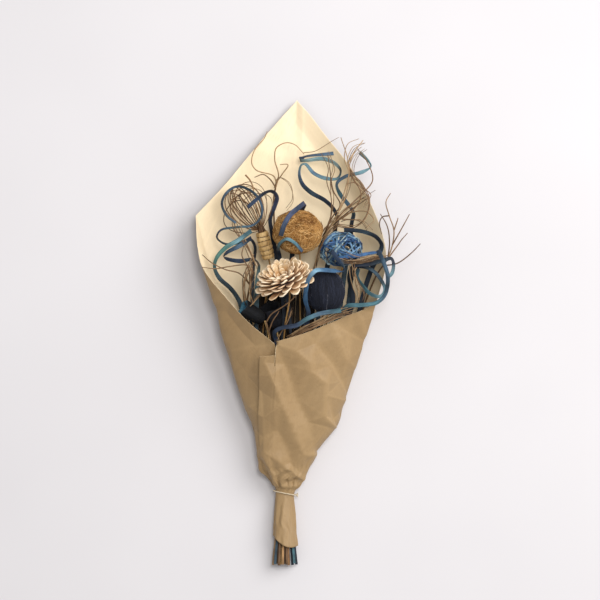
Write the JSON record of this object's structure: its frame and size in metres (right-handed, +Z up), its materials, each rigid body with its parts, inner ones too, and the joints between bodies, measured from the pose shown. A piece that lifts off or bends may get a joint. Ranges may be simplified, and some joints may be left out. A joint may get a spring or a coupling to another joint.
{
  "type": "wrapped dried flower bouquet",
  "caption": "Tied bouquet of a sola wood flower, fibre and cane balls, dried cups, curled cane strips and twigs in a kraft paper cone, lying on its back.",
  "frame": {"origin": "middle of the footprint, on the surface that the bouquet lies on", "axes": "+Y from the stem ends to the paper's tip, +Z up, away from the surface, +X to the bouquet's right seen from above"},
  "size_m": [0.2926, 0.6122, 0.1219],
  "materials": {
    "kraft_paper": "matt creased paper",
    "string": "twisted cotton string",
    "sola_wood": "matt shaved pith",
    "coir_fibre": "coarse matt fibre",
    "navy_fibre": "dyed matt fibre",
    "blue_cane": "dyed satin cane",
    "teal_cane": "dyed satin cane",
    "dark_cane": "dyed satin cane",
    "brown_twig": "dry bark",
    "tan_stem": "dry stalk",
    "navy_cup": "dyed dry husk",
    "black_cup": "dyed dry husk"
  },
  "bodies": {
    "root": {"paper_wrap": "kraft_paper", "neck_tie": "string", "sola_flower": "sola_wood", "sola_stem": "tan_stem", "coir_ball": "coir_fibre", "coir_stem": "tan_stem", "navy_ball": "navy_fibre", "navy_stem": "tan_stem", "woven_ball": "blue_cane", "woven_stem": "tan_stem", "loop_whisk": "brown_twig", "whisk_handle": "tan_stem", "whisk_stem": "tan_stem", "bell_cup_left": "navy_cup", "bell_cup_left_stem": "tan_stem", "bell_cup_back": "black_cup", "bell_cup_back_stem": "tan_stem", "cane_tip_left": "teal_cane", "cane_tip_right": "teal_cane", "cane_ring": "teal_cane", "cane_left_wave": "teal_cane", "cane_left_zigzag": "blue_cane", "cane_left_fold": "dark_cane", "cane_over_coir": "blue_cane", "cane_coir_arc": "blue_cane", "cane_over_navy": "blue_cane", "cane_low": "blue_cane", "cane_right_sweep": "teal_cane", "cane_right_arc": "dark_cane", "cane_right_loop": "teal_cane", "cane_right_hook": "dark_cane", "twig_tip": "brown_twig", "twig_bunch": "brown_twig", "twig_outer": "brown_twig", "twig_flower": "brown_twig", "twig_front": "brown_twig", "twig_low": "brown_twig"}
  },
  "joints": []
}
